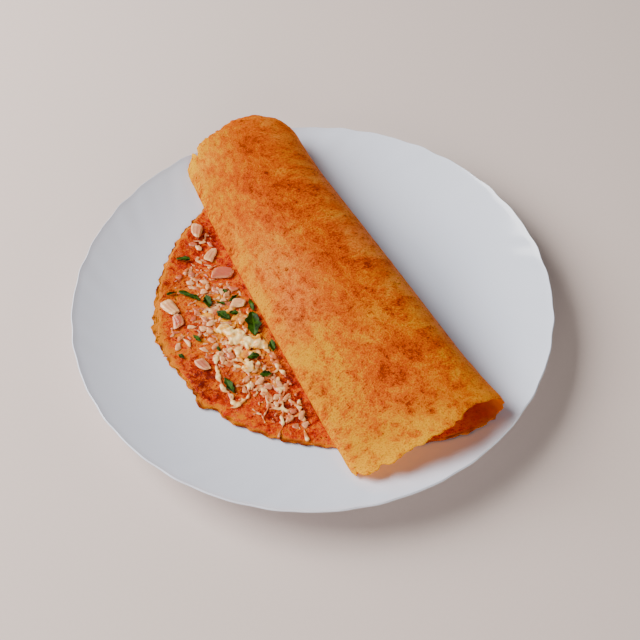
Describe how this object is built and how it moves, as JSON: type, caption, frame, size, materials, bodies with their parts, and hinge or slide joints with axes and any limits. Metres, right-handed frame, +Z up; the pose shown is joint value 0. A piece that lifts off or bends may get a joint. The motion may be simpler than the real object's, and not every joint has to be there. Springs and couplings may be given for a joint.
{
  "type": "ghee karam dosa on plate",
  "caption": "Crisp golden dosa rolled along one side on a round white plate with a scalloped edge, its red spiced open side topped with onion, melted cheese and coriander.",
  "frame": {"origin": "under the middle of the plate, in the plane of its foot ring", "axes": "+Z up, +Y along the roll from its near mouth to its far mouth, +X from the open side of the dosa towards the roll's fold"},
  "size_m": [0.2702, 0.2702, 0.0437],
  "materials": {
    "plate_glaze": "glossy white glaze",
    "dosa_crust": "crisp golden crust with a thin coat of ghee",
    "onion": "moist chopped onion",
    "cheese": "melted grated cheese",
    "coriander": "fresh chopped leaf"
  },
  "bodies": {
    "root": {"plate": "plate_glaze", "dosa": "dosa_crust", "onion_piece_1": "onion", "onion_piece_2": "onion", "onion_piece_3": "onion", "onion_piece_4": "onion", "onion_piece_5": "onion", "onion_piece_6": "onion", "onion_piece_7": "onion", "cheese_lump": "cheese", "cheese_crumb": "cheese", "coriander_leaf_1": "coriander", "coriander_leaf_2": "coriander", "coriander_leaf_3": "coriander", "coriander_leaf_4": "coriander", "coriander_leaf_5": "coriander", "coriander_leaf_6": "coriander", "coriander_leaf_7": "coriander"}
  },
  "joints": []
}
